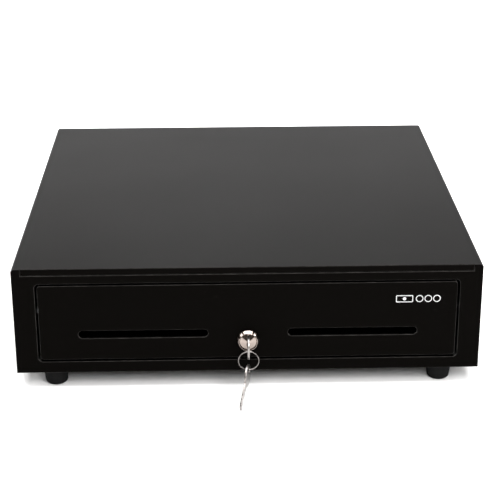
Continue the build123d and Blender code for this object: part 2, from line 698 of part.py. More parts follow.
coin_x = till_inner - 0.5
coin_y = (TILL_Y[0] + TILL_WALL + 0.5, TILL_SPLIT_Y[0] - 0.5)
coin_top = TILL_Z[1] - 2
cup_floor = bay_floor + TILL_WALL
cup_w = (2 * coin_x - (COIN_COLUMNS + 1) * TILL_WALL) / COIN_COLUMNS
cup_d = (coin_y[1] - coin_y[0] - (COIN_ROWS + 1) * TILL_WALL) / COIN_ROWS
with BuildPart() as coin_tray:
    block((-coin_x, coin_y[0], bay_floor), (coin_x, coin_y[1], coin_top))
    with BuildSketch(Plane.XY.offset(coin_top)):
        with Locations((0, (coin_y[0] + coin_y[1]) / 2)):
            with GridLocations(cup_w + TILL_WALL, cup_d + TILL_WALL, COIN_COLUMNS, COIN_ROWS):
                RectangleRounded(cup_w, cup_d, 6)
    extrude(amount=-(coin_top - cup_floor), mode=Mode.SUBTRACT)
    cup_floor_edges = coin_tray.edges().filter_by_position(Axis.Z, cup_floor - 0.01, cup_floor + 0.01)
    fillet(cup_floor_edges, 5.5)
save(coin_tray, "coin_tray")

with BuildPart() as clip_axle:
    bar((-TILL_X + 1, CLIP_Y, CLIP_Z), (1, 0, 0), CLIP_AXLE_R, 2 * TILL_X - 2)
save(clip_axle, "clip_axle")

clip_pad = CLIP_REACH - 6
clip_drop = asin((CLIP_Z - bay_floor - 1.2) / clip_pad)
clip_direction = (0, -cos(clip_drop), -sin(clip_drop))
for number, x in enumerate(bay_x, start=1):
    with BuildPart() as clip:
        clip_plane = Plane(origin=(x, CLIP_Y, CLIP_Z), x_dir=clip_direction, z_dir=(1, 0, 0))
        with BuildSketch(clip_plane.offset(-11)):
            with BuildLine():
                FilletPolyline((0, 0), (clip_pad, 0), (CLIP_REACH, -4), radius=6)
            trace(line_width=1.6)
        extrude(amount=22)
        bar((x - 15, CLIP_Y, CLIP_Z), (1, 0, 0), 3.4, 30)
        bar((x - 15, CLIP_Y, CLIP_Z), (1, 0, 0), CLIP_BORE_R, 30, mode=Mode.SUBTRACT)
    save(clip, f"bill_clip_{number}")

# ---- Lock, keys and ring ------------------------------------------------------------------
with BuildPart() as lock_housing:
    with Locations(Plane(origin=(0, FRONT - BEZEL_OUT, LOCK_Z), z_dir=(0, 1, 0))):
        Cone(BEZEL_RIM_R, BEZEL_R, BEZEL_OUT, align=FROM_BASE)
    fillet(lock_housing.edges().filter_by(GeomType.CIRCLE).sort_by(Axis.Y)[0], 1.2)
    bar((0, FRONT, LOCK_Z), (0, 1, 0), BARREL_R, 25.5)
    bar((0, FRONT - BEZEL_OUT, LOCK_Z), (0, 1, 0), BEZEL_RECESS_R, BEZEL_RECESS, mode=Mode.SUBTRACT)
    bar((0, FRONT - BEZEL_OUT, LOCK_Z), (0, 1, 0), PLUG_R + RUNNING, 40, mode=Mode.SUBTRACT)
save(lock_housing, "lock_housing")

with BuildPart() as lock_nut:
    with BuildSketch(facing_front(FRAME_BACK + SHEET)):
        with Locations((0, LOCK_Z)):
            RegularPolygon(12.0, 6, major_radius=False)
            Circle(BARREL_R, mode=Mode.SUBTRACT)
    extrude(amount=-4)
save(lock_nut, "lock_nut")

plug_front = FRONT - BEZEL_OUT + BEZEL_RECESS
plug_rear = -178.0
keyway_half_w = 1.1
keyway_half_h = 4.2
with BuildPart() as lock_plug:
    bar((0, plug_front, LOCK_Z), (0, 1, 0), PLUG_R, plug_rear - plug_front)
    bar((0, -181.7, LOCK_Z), (0, 1, 0), 8.4, 2.2)
    low = (-keyway_half_w, plug_front - 1, LOCK_Z - keyway_half_h)
    block(low, (keyway_half_w, plug_rear - 6, LOCK_Z + keyway_half_h), mode=Mode.SUBTRACT)
save(lock_plug, "lock_plug")

with BuildPart() as lock_rod:
    bar((0, plug_rear, LOCK_Z), (0, 1, 0), PIVOT_R, 156 - plug_rear)
    bar((0, 152, LOCK_Z), (0, 1, 0), 5, 2.5)
    with BuildSketch(facing_front(154.5)):
        with Locations((0, LOCK_Z + 4)):
            SlotOverall(14, 6, rotation=90)
    extrude(amount=2.5)
save(lock_rod, "lock_rod")


def make_key(place, blade_length):
    """A flat key about its ring hole: the bow round the hole, then the blade along local x."""
    with BuildPart() as piece:
        with BuildSketch(place.offset(-KEY_THICK / 2)):
            with Locations((KEY_BOW_L / 2 - KEY_HOLE_IN, 0)):
                RectangleRounded(KEY_BOW_L, KEY_BOW_H, KEY_BOW_CORNER)
            blade_start = KEY_BOW_L - KEY_HOLE_IN - 2
            blade_end = blade_start + 2 + blade_length
            half = KEY_BLADE_H / 2
            with BuildLine():
                Polyline(
                    (blade_start, -half),
                    (blade_end - KEY_TIP, -half),
                    (blade_end, KEY_TIP - half),
                    (blade_end, half - KEY_TIP),
                    (blade_end - KEY_TIP, half),
                    (blade_start, half),
                    close=True,
                )
            make_face()
            Circle(KEY_HOLE_R, mode=Mode.SUBTRACT)
            for step in range(4):
                with Locations((blade_start + 8 + step * 4.5, half)):
                    Circle(1.1 + 0.3 * (step % 2), mode=Mode.SUBTRACT)
        extrude(amount=KEY_THICK)
    return piece


key_place = Plane(origin=(0, KEY_HOLE_Y, LOCK_Z), x_dir=(0, 1, 0), z_dir=(1, 0, 0))
save(make_key(key_place, KEY_BLADE_L), "key")

hole_to_wire = KEY_HOLE_R - RING_WIRE_R - RING_PLAY
ring_down = Vector(0, sin(radians(RING_LEAN)), -cos(radians(RING_LEAN)))
ring_top = Vector(0, KEY_HOLE_Y, LOCK_Z - hole_to_wire)
ring_normal = ring_down.cross(Vector(1, 0, 0))
with BuildPart() as key_ring:
    with Locations(Plane(origin=ring_top + ring_down * RING_R, x_dir=(1, 0, 0), z_dir=ring_normal)):
        Torus(RING_R, RING_WIRE_R)
save(key_ring, "key_ring")

ring_foot = ring_top + ring_down * 2 * RING_R
spare_along = (Vector(*SPARE_TIP) - ring_foot).normalized()
spare_upright = (Vector(1, 0, 0) - spare_along * spare_along.X).normalized()
spare_side = spare_upright.rotate(Axis((0, 0, 0), spare_along), SPARE_TWIST)
spare_hole = ring_foot + spare_along * hole_to_wire
spare_place = Plane(origin=spare_hole, x_dir=spare_along, z_dir=spare_side)
spare_reach = (Vector(*SPARE_TIP) - spare_hole).length
save(make_key(spare_place, spare_reach - (KEY_BOW_L - KEY_HOLE_IN)), "spare_key")
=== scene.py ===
"""Looks for the cash drawer: camera, studio, materials, and the pieces finer than their CAD stand-ins."""
import json
import math

import bmesh
import bpy
from mathutils import Matrix, Vector


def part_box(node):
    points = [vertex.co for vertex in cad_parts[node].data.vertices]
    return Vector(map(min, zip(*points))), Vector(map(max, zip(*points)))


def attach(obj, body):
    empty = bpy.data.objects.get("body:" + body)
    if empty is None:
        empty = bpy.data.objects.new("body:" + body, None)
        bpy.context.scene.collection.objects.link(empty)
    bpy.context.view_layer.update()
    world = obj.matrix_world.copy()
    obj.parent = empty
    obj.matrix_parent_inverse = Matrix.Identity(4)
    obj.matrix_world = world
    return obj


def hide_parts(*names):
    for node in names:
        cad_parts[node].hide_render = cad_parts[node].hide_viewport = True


MM = 0.001
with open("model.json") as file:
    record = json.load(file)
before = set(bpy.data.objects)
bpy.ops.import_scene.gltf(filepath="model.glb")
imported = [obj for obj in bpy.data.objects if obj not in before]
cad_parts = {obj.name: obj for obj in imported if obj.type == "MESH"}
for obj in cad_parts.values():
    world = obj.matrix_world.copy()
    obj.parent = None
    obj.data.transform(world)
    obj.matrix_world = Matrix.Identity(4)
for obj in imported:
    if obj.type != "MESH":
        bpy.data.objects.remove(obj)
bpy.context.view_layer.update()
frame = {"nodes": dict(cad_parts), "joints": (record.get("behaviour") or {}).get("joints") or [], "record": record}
nodes = frame["nodes"]


def joint(name):
    """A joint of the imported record, by name."""
    return next(j for j in frame["joints"] if j["name"] == name)


# ---- Camera -------------------------------------------------------------------------------
AZIMUTH, ELEVATION, ROLL = (math.radians(a) for a in (-1.362, 21.879, -0.179))
DISTANCE = 1.4564
LENS = 103.28
AIM = Vector((0, 0, 0.049))
AIM_SHIFT = (0.00685, -0.00191)

back = Vector(
    (
        math.sin(AZIMUTH) * math.cos(ELEVATION),
        -math.cos(AZIMUTH) * math.cos(ELEVATION),
        math.sin(ELEVATION),
    )
)
level_right = Vector((0, 0, 1)).cross(back).normalized()
level_up = back.cross(level_right)
right = math.cos(ROLL) * level_right + math.sin(ROLL) * level_up
up = math.cos(ROLL) * level_up - math.sin(ROLL) * level_right
camera = bpy.data.objects.new("camera", bpy.data.cameras.new("camera"))
bpy.context.scene.collection.objects.link(camera)
camera.data.sensor_width = 36
camera.data.lens = LENS
camera.data.clip_end = 30
turn = Matrix((right, up, back)).transposed().to_4x4()
camera.matrix_world = Matrix.Translation(
    AIM + right * AIM_SHIFT[0] + up * AIM_SHIFT[1] + back * DISTANCE
) @ turn
bpy.context.scene.camera = camera
bpy.context.scene.view_settings.view_transform = "Standard"


# ---- Materials ----------------------------------------------------------------------------
def link(tree, source, target):
    tree.links.new(source, target)


def object_place(tree):
    """The object coordinates that a material already reads."""
    return next(n for n in tree.nodes if n.type == "TEX_COORD").outputs["Object"]


def noise(tree, coordinates, scale, detail=3.0, stretch=None):
    """A noise texture in the object's own space, stretched along one axis if asked."""
    if stretch:
        mapping = tree.nodes.new("ShaderNodeMapping")
        mapping.inputs["Scale"].default_value = stretch
        link(tree, coordinates, mapping.inputs["Vector"])
        coordinates = mapping.outputs["Vector"]
    texture = tree.nodes.new("ShaderNodeTexNoise")
    texture.inputs["Scale"].default_value = scale
    texture.inputs["Detail"].default_value = detail
    link(tree, coordinates, texture.inputs["Vector"])
    return texture.outputs["Fac"]


def remap(tree, value, low, high, from_low=0.3, from_high=0.7):
    """A value spread over a new range."""
    ranged = tree.nodes.new("ShaderNodeMapRange")
    ranged.inputs["From Min"].default_value = from_low
    ranged.inputs["From Max"].default_value = from_high
    ranged.inputs["To Min"].default_value = low
    ranged.inputs["To Max"].default_value = high
    link(tree, value, ranged.inputs["Value"])
    return ranged.outputs["Result"]


def mixed(tree, factor, colour_a, colour_b):
    """Two colours, or sockets, mixed by a factor."""
    mix = tree.nodes.new("ShaderNodeMix")
    mix.data_type = "RGBA"
    link(tree, factor, mix.inputs["Factor"])
    for socket, colour in zip((mix.inputs[6], mix.inputs[7]), (colour_a, colour_b)):
        if isinstance(colour, bpy.types.NodeSocket):
            link(tree, colour, socket)
        else:
            socket.default_value = (*colour, 1)
    return mix.outputs[2]


def calculated(tree, operation, *values):
    """The result of a math node on sockets or numbers."""
    node = tree.nodes.new("ShaderNodeMath")
    node.operation = operation
    for socket, value in zip(node.inputs, values):
        if isinstance(value, bpy.types.NodeSocket):
            link(tree, value, socket)
        else:
            socket.default_value = value
    return node.outputs["Value"]


def edge_mask(tree, rounded_normal):
    """1 on sharp edges and 0 on faces, from how far a rounded normal leans from the real one."""
    geometry = tree.nodes.new("ShaderNodeNewGeometry")
    dot = tree.nodes.new("ShaderNodeVectorMath")
    dot.operation = "DOT_PRODUCT"
    link(tree, rounded_normal, dot.inputs[0])
    link(tree, geometry.outputs["Normal"], dot.inputs[1])
    return remap(tree, dot.outputs["Value"], 1.0, 0.0, 0.86, 0.995)


# Heights over which the painted highlight on the folds fades out towards the top.
FOLDS_FADE_OUT = (0.110, 0.112)


def fold_highlight_mask(tree, place):
    """The painted highlight's mask: 1 on the sheet's rounded rims, 0 on its flat faces, all square to the axes,
    and near the top.
    """
    geometry = tree.nodes.new("ShaderNodeNewGeometry")
    split = tree.nodes.new("ShaderNodeSeparateXYZ")
    link(tree, geometry.outputs["Normal"], split.inputs["Vector"])
    x, y, z = (calculated(tree, "ABSOLUTE", split.outputs[axis]) for axis in "XYZ")
    squareness = calculated(tree, "MAXIMUM", calculated(tree, "MAXIMUM", x, y), z)
    rims = remap(tree, squareness, 1.0, 0.0, 0.78, 0.97)
    height = tree.nodes.new("ShaderNodeSeparateXYZ")
    link(tree, place, height.inputs["Vector"])
    below_top = remap(tree, height.outputs["Z"], 1.0, 0.0, *FOLDS_FADE_OUT)
    return calculated(tree, "MULTIPLY", rims, below_top)


def surface(
    name,
    colour,
    rough,
    metallic=0.0,
    ior=1.5,
    tint=(1.0, 1.0, 1.0),
    mottle=0.12,
    mottle_scale=60.0,
    grain=1800.0,
    grain_depth=0.00002,
    grain_strength=0.35,
    stretch=None,
    wear_and_highlight=None,
    wear_and_highlight_share=0.5,
    edge_bevel_radius=0.0006,
    folded=False,
):
    """A procedural material: mottled colour, uneven roughness, a fine grain bump, and lighter edges that are
    partly wear and partly a painted highlight.
    """
    made = bpy.data.materials.new(name)
    made.use_nodes = True
    tree = made.node_tree
    shader = tree.nodes["Principled BSDF"]
    place = tree.nodes.new("ShaderNodeTexCoord").outputs["Object"]
    broad = noise(tree, place, mottle_scale)
    fine = noise(tree, place, grain, detail=2.0, stretch=stretch)
    tone = mixed(
        tree,
        remap(tree, broad, 0.0, 1.0),
        [c * (1 - mottle) for c in colour],
        [min(1.0, c * (1 + mottle)) for c in colour],
    )
    roughness = remap(tree, broad, rough[0], rough[1])
    bump = tree.nodes.new("ShaderNodeBump")
    # Lighter colour mixed onto sharp edges: partly worn paint, partly a painted highlight where the edges catch
    # the light.
    if wear_and_highlight:
        bevel = tree.nodes.new("ShaderNodeBevel")
        bevel.samples = 6
        bevel.inputs["Radius"].default_value = edge_bevel_radius
        link(tree, bevel.outputs["Normal"], bump.inputs["Normal"])
        edges = edge_mask(tree, bevel.outputs["Normal"])
        # On folded sheet the painted highlight also runs along the rounded rims, fading out at the top.
        if folded:
            edges = calculated(tree, "MAXIMUM", edges, fold_highlight_mask(tree, place))
        patchy = noise(tree, place, 160.0, detail=4.0)
        patches = remap(tree, patchy, 0.45 * wear_and_highlight_share, wear_and_highlight_share, 0.40, 0.64)
        tone = mixed(tree, calculated(tree, "MULTIPLY", edges, patches), tone, wear_and_highlight)
    link(tree, tone, shader.inputs["Base Color"])
    link(tree, roughness, shader.inputs["Roughness"])
    shader.inputs["Metallic"].default_value = metallic
    shader.inputs["IOR"].default_value = ior
    shader.inputs["Specular Tint"].default_value = (*tint, 1)
    bump.inputs["Strength"].default_value = grain_strength
    bump.inputs["Distance"].default_value = grain_depth
    link(tree, fine, bump.inputs["Height"])
    link(tree, bump.outputs["Normal"], shader.inputs["Normal"])
    return made


def with_waves(made, scale, axis, depth):
    """Adds parallel ridges to a material, such as windings or a braid."""
    tree = made.node_tree
    bump = next(n for n in tree.nodes if n.type == "BUMP")
    wave = tree.nodes.new("ShaderNodeTexWave")
    wave.bands_direction = axis
    wave.inputs["Scale"].default_value = scale
    link(tree, object_place(tree), wave.inputs["Vector"])
    second = tree.nodes.new("ShaderNodeBump")
    second.inputs["Distance"].default_value = depth
    link(tree, wave.outputs["Fac"], second.inputs["Height"])
    link(tree, bump.outputs["Normal"], second.inputs["Normal"])
    link(tree, second.outputs["Normal"], tree.nodes["Principled BSDF"].inputs["Normal"])
    return made


# The black paint's pale edge colour, on sharp edges and on the folds' rounded rims, is partly edge wear and partly
# a painted highlight, lines of light along the edges.
black_steel = surface(
    "black_steel", (0.0007, 0.0006, 0.0005), (0.36, 0.40), ior=1.08, tint=(1.0, 0.91, 0.82),
    mottle=0.1, mottle_scale=5.0, grain=1500.0, grain_depth=0.00005, grain_strength=0.3,
    wear_and_highlight=(0.06, 0.057, 0.054), wear_and_highlight_share=0.9, edge_bevel_radius=0.0004, folded=True,
)
zinc_steel = surface(
    "zinc_steel", (0.36, 0.365, 0.37), (0.34, 0.50), metallic=1.0, mottle=0.14, mottle_scale=160.0,
    grain=900.0, grain_depth=0.00002, stretch=(1, 14, 1), wear_and_highlight=(0.48, 0.48, 0.48), wear_and_highlight_share=0.8,
)
chrome = surface(
    "chrome", (0.28, 0.235, 0.21), (0.05, 0.12), metallic=1.0, mottle=0.04, mottle_scale=300.0,
    grain=2600.0, grain_depth=0.000004, grain_strength=0.2, wear_and_highlight=(0.42, 0.37, 0.34), wear_and_highlight_share=0.5,
)
nickel = surface(
    "nickel", (0.26, 0.245, 0.235), (0.22, 0.36), metallic=1.0, mottle=0.10, mottle_scale=400.0,
    grain=1400.0, grain_depth=0.00001, stretch=(1, 5, 1), wear_and_highlight=(0.38, 0.36, 0.34), wear_and_highlight_share=0.9,
    edge_bevel_radius=0.0003,
)
rubber = surface(
    "rubber", (0.005, 0.005, 0.005), (0.62, 0.82), ior=1.14, mottle=0.2, mottle_scale=220.0,
    grain=2400.0, grain_depth=0.00004, wear_and_highlight=(0.012, 0.012, 0.012), wear_and_highlight_share=0.7, edge_bevel_radius=0.0008,
)
nylon = surface(
    "nylon", (0.74, 0.72, 0.66), (0.34, 0.5), mottle=0.05, grain=1500.0, grain_depth=0.00001,
    wear_and_highlight=(0.55, 0.52, 0.47), wear_and_highlight_share=0.6,
)
abs_black = surface(
    "abs_black", (0.018, 0.018, 0.019), (0.42, 0.58), mottle=0.1, mottle_scale=90.0, grain=1300.0,
    grain_depth=0.00007, grain_strength=0.5, wear_and_highlight=(0.06, 0.06, 0.06), wear_and_highlight_share=0.5,
)
jack_plastic = surface(
    "jack_plastic", (0.014, 0.014, 0.015), (0.2, 0.32), mottle=0.08, grain=2000.0,
    grain_depth=0.00001, wear_and_highlight=(0.05, 0.05, 0.05), wear_and_highlight_share=0.4, edge_bevel_radius=0.0003,
)
pcb_green = surface(
    "pcb_green", (0.016, 0.12, 0.045), (0.25, 0.4), mottle=0.35, mottle_scale=700.0, grain=500.0,
    grain_depth=0.00003, wear_and_highlight=(0.3, 0.3, 0.18), wear_and_highlight_share=0.6, edge_bevel_radius=0.0003,
)
copper = with_waves(
    surface("copper", (0.62, 0.24, 0.11), (0.22, 0.36), metallic=1.0, mottle=0.2, mottle_scale=500.0),
    650.0, "Y", 0.0002,
)
gold = surface("gold", (0.86, 0.62, 0.25), (0.14, 0.24), metallic=1.0, mottle=0.06, grain=3000.0)
wire_black = with_waves(
    surface("wire_black", (0.02, 0.02, 0.021), (0.5, 0.7), mottle=0.2, mottle_scale=300.0),
    500.0, "DIAGONAL", 0.0002,
)
MATERIALS = {
    "black_steel": black_steel, "zinc_steel": zinc_steel, "chrome": chrome, "nickel": nickel,
    "rubber": rubber, "nylon": nylon, "abs_black": abs_black, "jack_plastic": jack_plastic,
    "pcb_green": pcb_green, "copper": copper, "gold": gold, "wire_black": wire_black,
}


def dress(obj, material):
    """Gives every face of an object one material."""
    obj.data.materials.clear()
    obj.data.materials.append(material)


slot_of = {s["node"]: s["material_slot"] for s in frame["record"]["subparts"]}
for node, obj in nodes.items():
    dress(obj, MATERIALS[slot_of[node]])


# ---- Mesh helpers -------------------------------------------------------------------------
def mesh_object(name, mesh, place=None):
    """A new object in the scene with that mesh, its vertices moved by a matrix."""
    if place is not None:
        mesh.transform(place)
    obj = bpy.data.objects.new(name, mesh)
    bpy.context.scene.collection.objects.link(obj)
    return obj


def shade(obj, angle=35):
    """Smooth shading except across edges sharper than the angle."""
    obj.data.shade_smooth()
    obj.data.set_sharp_from_angle(angle=math.radians(angle))


def from_curve(name, curve, place):
    """The closed mesh of a curve, placed, as a new object."""
    holder = bpy.data.objects.new(name + "_curve", curve)
    mesh = bpy.data.meshes.new_from_object(holder)
    mesh.name = name
    bpy.data.objects.remove(holder)
    work = bmesh.new()
    work.from_mesh(mesh)
    bmesh.ops.remove_doubles(work, verts=work.verts, dist=1e-6)
    work.to_mesh(mesh)
    work.free()
    return mesh_object(name, mesh, place)


def flat_curve(outlines, thickness, edge):
    """A filled 2D curve of closed outlines, each a list of points, with rounded edges."""
    curve = bpy.data.curves.new("outline", "CURVE")
    curve.dimensions = "2D"
    curve.fill_mode = "BOTH"
    curve.extrude = thickness / 2 - edge
    curve.bevel_depth = edge
    curve.bevel_resolution = 3
    curve.offset = -edge
    for points in outlines:
        spline = curve.splines.new("POLY")
        spline.points.add(len(points) - 1)
        for point, (x, y) in zip(spline.points, points):
            point.co = (x, y, 0, 1)
        spline.use_cyclic_u = True
    return curve


def circle_points(radius, at=(0, 0), count=48):
    """Points round a circle."""
    steps = (2 * math.pi * i / count for i in range(count))
    return [(at[0] + radius * math.cos(a), at[1] + radius * math.sin(a)) for a in steps]


def rounded_rectangle(width, height, corner, at=(0, 0), count=10):
    """Points round a rectangle with round corners."""
    points = []
    for quarter, (sx, sy) in enumerate(((1, 1), (-1, 1), (-1, -1), (1, -1))):
        middle = (at[0] + sx * (width / 2 - corner), at[1] + sy * (height / 2 - corner))
        for i in range(count + 1):
            a = math.pi / 2 * (quarter + i / count)
            points.append((middle[0] + corner * math.cos(a), middle[1] + corner * math.sin(a)))
    return points


# ---- Studio -------------------------------------------------------------------------------
FLOOR_REACH = 9.0
FLOOR_BACK = 1.6
BACKDROP_BEND = 0.9
BACKDROP_TOP = 4.0
GLOW_FROM_TO = (1.3, 2.6)


def floor_paint():
    """Matt pale paint that glows faintly far out, to the sides and in front, where no lamp reaches."""
    made = surface("floor", (0.88, 0.88, 0.88), (0.55, 0.65), mottle=0.01, grain=300.0)
    tree = made.node_tree
    split = tree.nodes.new("ShaderNodeSeparateXYZ")
    link(tree, object_place(tree), split.inputs["Vector"])
    aside = calculated(tree, "ABSOLUTE", split.outputs["X"])
    ahead = calculated(tree, "MULTIPLY", split.outputs["Y"], -1.0)
    glow = remap(tree, calculated(tree, "MAXIMUM", aside, ahead), 0.0, 1.0, *GLOW_FROM_TO)
    shader = tree.nodes["Principled BSDF"]
    shader.inputs["Emission Color"].default_value = (1, 1, 1, 1)
    link(tree, glow, shader.inputs["Emission Strength"])
    return made


def build_studio():
    """A pale floor that curves up into a backdrop, with large soft lights above, in front and beside."""
    work = bmesh.new()
    profile = [(-FLOOR_REACH, 0.0), (FLOOR_BACK, 0.0)]
    for i in range(1, 13):
        a = math.pi / 2 * i / 12
        across_bend = BACKDROP_BEND * math.sin(a)
        profile.append((FLOOR_BACK + across_bend, BACKDROP_BEND * (1 - math.cos(a))))
    profile.append((FLOOR_BACK + BACKDROP_BEND, BACKDROP_TOP))
    sides = (-FLOOR_REACH, FLOOR_REACH)
    rows = [[work.verts.new((x, y, z)) for y, z in profile] for x in sides]
    for i in range(len(profile) - 1):
        work.faces.new((rows[0][i], rows[1][i], rows[1][i + 1], rows[0][i + 1]))
    mesh = bpy.data.meshes.new("floor")
    work.to_mesh(mesh)
    work.free()
    floor = mesh_object("floor", mesh)
    shade(floor)
    dress(floor, floor_paint())
    world = bpy.data.worlds.new("studio")
    bpy.context.scene.world = world
    world.use_nodes = True
    world.node_tree.nodes["Background"].inputs["Color"].default_value = (1.0, 0.88, 0.78, 1)
    world.node_tree.nodes["Background"].inputs["Strength"].default_value = 0.15
    for name, place, aim, size, energy in (
        ("overhead", (0.0, -0.25, 1.75), (0, -0.2, 0), (2.4, 1.1), 54.0),
        ("front_key", (0.35, -1.35, 1.1), (0, -0.2, 0), (1.2, 1.0), 32.0),
        ("backdrop_light", (0.0, 0.9, 1.9), (0, 2.2, 0.5), (2.4, 0.8), 95.0),
        ("left_fill", (-1.7, -0.3, 1.1), (0, 0, 0), (0.6, 0.6), 10.0),
        ("right_fill", (1.7, -0.3, 1.1), (0, 0, 0), (0.6, 0.6), 10.0),
    ):
        lamp = bpy.data.objects.new(name, bpy.data.lights.new(name, "AREA"))
        lamp.data.shape = "RECTANGLE"
        lamp.data.size, lamp.data.size_y = size
        lamp.data.energy = energy
        bpy.context.scene.collection.objects.link(lamp)
        lamp.location = place
        lamp.rotation_mode = "QUATERNION"
        lamp.rotation_quaternion = (Vector(place) - Vector(aim)).to_track_quat("Z", "Y")


build_studio()


# ---- Keys and ring ------------------------------------------------------------------------
KEY_THICK = 1.7 * MM
BOW_LENGTH = 19.0 * MM
BOW_HEIGHT = 20.5 * MM
BOW_CORNER = 8.5 * MM
BOW_HOLE = 2.5 * MM
HOLE_FROM_END = 4.8 * MM
BLADE_HALF = 3.9 * MM
SPARE_TIP = Vector((-7.8, -257.5, 2.6)) * MM
TIP_SLOPE = 2.2 * MM
FIRST_CUT = 4.4 * MM
CUT_PITCH = 3.4 * MM
CUT_DEPTHS = (1.7, 0.8, 2.1, 1.2, 1.9)
CUT_TOP_HALF = 1.3 * MM
CUT_FLOOR_HALF = 0.45 * MM
RING_WIRE = 0.34 * MM
RING_TURNS = 2.0
RING_LEAN = math.radians(3)


def key_outline(blade_end):
    """The key's outline about its ring hole: a round bow, then a blade with cuts in its upper edge."""
    bow_middle = BOW_LENGTH / 2 - HOLE_FROM_END
    bow_end = BOW_LENGTH - HOLE_FROM_END
    bow = rounded_rectangle(BOW_LENGTH, BOW_HEIGHT, BOW_CORNER, (bow_middle, 0))
    shoulder = bow_end - 0.4 * MM
    kept = [p for p in bow if not (abs(p[1]) < BLADE_HALF + 0.3 * MM and p[0] > bow_middle)]
    around = sorted(kept, key=lambda p: math.atan2(p[1], p[0] - bow_middle))
    above = [p for p in around if p[1] > 0]
    below = [p for p in around if p[1] <= 0]
    cuts = []
    for step, depth in enumerate(CUT_DEPTHS):
        x = blade_end - FIRST_CUT - CUT_PITCH * step
        low = BLADE_HALF - depth * MM
        cuts += [
            (x + CUT_TOP_HALF, BLADE_HALF),
            (x + CUT_FLOOR_HALF, low),
            (x - CUT_FLOOR_HALF, low),
            (x - CUT_TOP_HALF, BLADE_HALF),
        ]
    tip = [
        (blade_end - TIP_SLOPE, -BLADE_HALF),
        (blade_end, TIP_SLOPE - BLADE_HALF),
        (blade_end, BLADE_HALF - TIP_SLOPE),
        (blade_end - TIP_SLOPE, BLADE_HALF),
    ]
    return [*tip, *cuts, (shoulder, BLADE_HALF), *above, *below, (shoulder, -BLADE_HALF)]


def build_key(name, node, body, place, blade_end):
    """One flat key: a blank with a ring hole, rounded edges and cuts along the blade."""
    blank = flat_curve([key_outline(blade_end), circle_points(BOW_HOLE)[::-1]], KEY_THICK, 0.25 * MM)
    key = from_curve(name, blank, place)
    shade(key, 50)
    dress(key, nickel)
    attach(key, body)
    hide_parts(node)
    return key


key_hole = Vector(joint("key_ring_swing")["pos_m"])
key_place = Matrix.Translation(key_hole) @ Matrix(((0, 0, 1), (1, 0, 0), (0, 1, 0))).to_4x4()
build_key("key_cut", "key", "lock_core", key_place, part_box("key")[1].y - key_hole.y)

spare_hole = Vector(joint("spare_key_swing")["pos_m"])
along = (SPARE_TIP - spare_hole).normalized()
across = -Vector(joint("spare_key_swing")["axis"]).normalized()
across = (across - across.dot(along) * along).normalized()
spare_turn = Matrix((along, across.cross(along), across)).transposed().to_4x4()
spare_place = Matrix.Translation(spare_hole) @ spare_turn
build_key("spare_key_cut", "spare_key", "spare_key_body", spare_place, (SPARE_TIP - spare_hole).length)


def build_ring():
    """A split ring: two turns of round wire lying side by side, with a step where they cross over."""
    low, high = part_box("key_ring")
    middle = (low + high) / 2
    radius = (high.x - low.x) / 2 - RING_WIRE
    down = Vector((0, math.sin(RING_LEAN), -math.cos(RING_LEAN)))
    sideways = Vector((1, 0, 0))
    normal = down.cross(sideways)
    curve = bpy.data.curves.new("ring", "CURVE")
    curve.dimensions = "3D"
    curve.bevel_depth = RING_WIRE
    curve.bevel_resolution = 5
    curve.use_fill_caps = True
    spline = curve.splines.new("POLY")
    count = 160
    spline.points.add(count)
    for i in range(count + 1):
        share = i / count
        a = math.radians(60) + 2 * math.pi * RING_TURNS * share
        climb = min(1.0, max(0.0, (share - 0.46) / 0.08))
        lean = (climb * climb * (3 - 2 * climb) - 0.5) * 2.1 * RING_WIRE
        point = middle + radius * (math.cos(a) * sideways - math.sin(a) * down) + lean * normal
        spline.points[i].co = (*point, 1)
    ring = from_curve("split_ring", curve, Matrix.Identity(4))
    shade(ring, 60)
    dress(ring, nickel)
    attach(ring, "key_ring_body")
    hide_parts("key_ring")


build_ring()


# ---- Lock ---------------------------------------------------------------------------------
def lathe(name, profile, height, segments=96):
    """A closed profile of (radius, y) points turned about a line along Y at that height."""
    work = bmesh.new()
    rings = []
    for i in range(segments):
        a = 2 * math.pi * i / segments
        rings.append([work.verts.new((r * math.sin(a), y, height + r * math.cos(a))) for r, y in profile])
    count = len(profile)
    for i in range(segments):
        one, two = rings[i], rings[(i + 1) % segments]
        for j in range(count):
            k = (j + 1) % count
            if profile[j][0] or profile[k][0]:
                work.faces.new((one[j], one[k], two[k], two[j]))
    bmesh.ops.remove_doubles(work, verts=work.verts, dist=1e-7)
    bmesh.ops.recalc_face_normals(work, faces=work.faces)
    mesh = bpy.data.meshes.new(name)
    work.to_mesh(mesh)
    work.free()
    return mesh_object(name, mesh)


# Millimetres. A bezel point is a radius and a distance behind the bezel's front.
BARREL_R = 9.5
BEZEL_R = 10.3
BEZEL_SHOULDER = (BEZEL_R, 3.1)
BEZEL_PULL = (9.0, 1.0)
BEZEL_RIM = (8.2, 0.12)
LIP_MIDDLE = (8.1, 0.3)
LIP_R = 0.3
DISH_R = 7.8
DISH_DEPTH = 1.3
PLUG_HOLE_R = 6.56
PLUG_R = 6.5
HEAD_R = 7.65
HEAD_EDGE = 0.35
HEAD_GAP = 0.04
HEAD_CROWN = 2.4
CROWN_POWER = 1.2
PLUG_CAM_R = 8.4
PLUG_CAM = (-181.7, -179.5)
KEYWAY = (2.2, 40.0, 8.4)
KEYWAY_MIDDLE_Y = -204.2


def finish_chrome(piece, sharp_from, body, node):
    """Shades and dresses a chrome piece, and rides it in place of its CAD node."""
    shade(piece, sharp_from)
    dress(piece, chrome)
    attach(piece, body)
    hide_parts(node)


